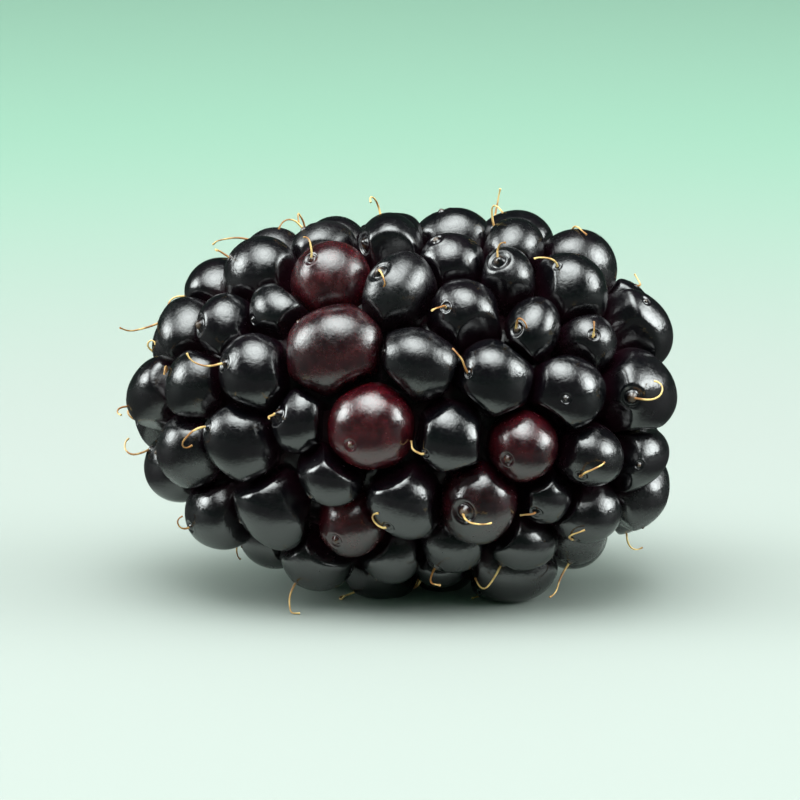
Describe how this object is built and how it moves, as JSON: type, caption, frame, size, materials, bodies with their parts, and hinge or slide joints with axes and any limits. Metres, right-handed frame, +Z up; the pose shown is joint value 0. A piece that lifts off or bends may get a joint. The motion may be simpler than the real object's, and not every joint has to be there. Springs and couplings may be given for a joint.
{
  "type": "bramble berry",
  "caption": "Ripe bramble berry picked with its plug, a barrel of glossy near-black drupelets that lies on its side.",
  "frame": {"origin": "bottom centre of the berry's box, on the surface that it lies on", "axes": "+X from the berry's tip to its stem end, along its length; +Z up from the surface that it lies on"},
  "size_m": [0.0322, 0.0232, 0.0228],
  "materials": {
    "drupelet_skin": "glossy",
    "unripe_skin": "glossy",
    "receptacle_flesh": "matte",
    "dry_style": "matte"
  },
  "bodies": {
    "root": {"drupelets": "drupelet_skin", "receptacle": "receptacle_flesh"}
  },
  "joints": []
}
